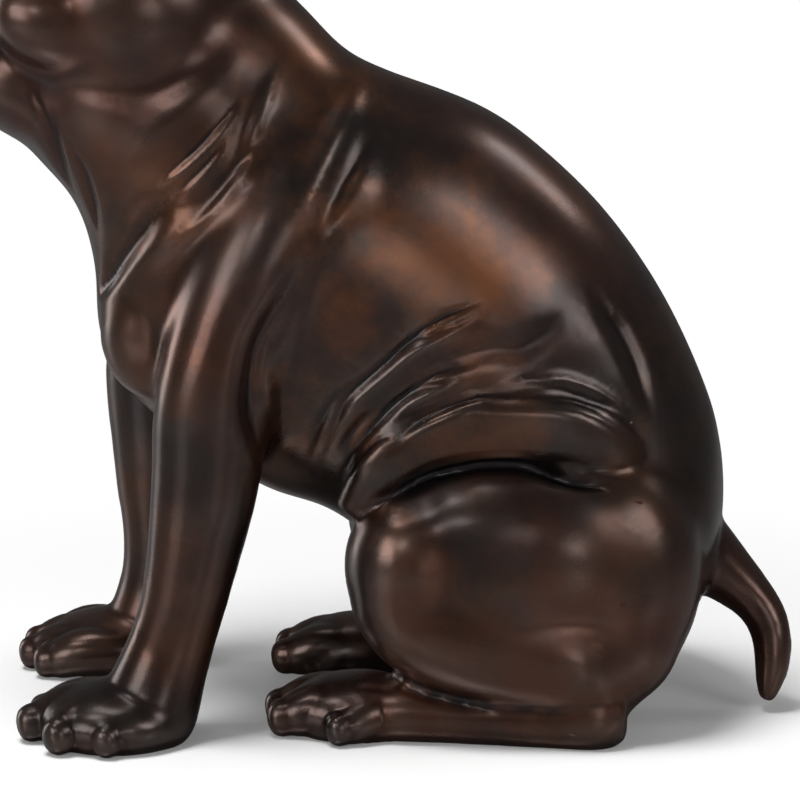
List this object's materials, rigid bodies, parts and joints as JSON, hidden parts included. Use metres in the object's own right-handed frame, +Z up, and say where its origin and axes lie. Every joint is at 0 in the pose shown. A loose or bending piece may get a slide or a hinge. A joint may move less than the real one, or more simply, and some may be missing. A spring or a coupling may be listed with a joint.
{
  "type": "bulldog statue",
  "caption": "Life-size sitting bulldog cast in dark brown bronze, head raised and turned a little, loose folds of skin on neck, flank and haunch, tail hanging in a curve.",
  "frame": {"origin": "on the ground below the middle of the statue's length and width, level with the flat soles of its four feet", "axes": "the dog faces -X, its left side is towards -Y, and +Z is up"},
  "size_m": [0.4189, 0.208, 0.4513],
  "materials": {
    "bronze": "satin"
  },
  "bodies": {
    "root": {"bulldog": "bronze"}
  },
  "joints": []
}
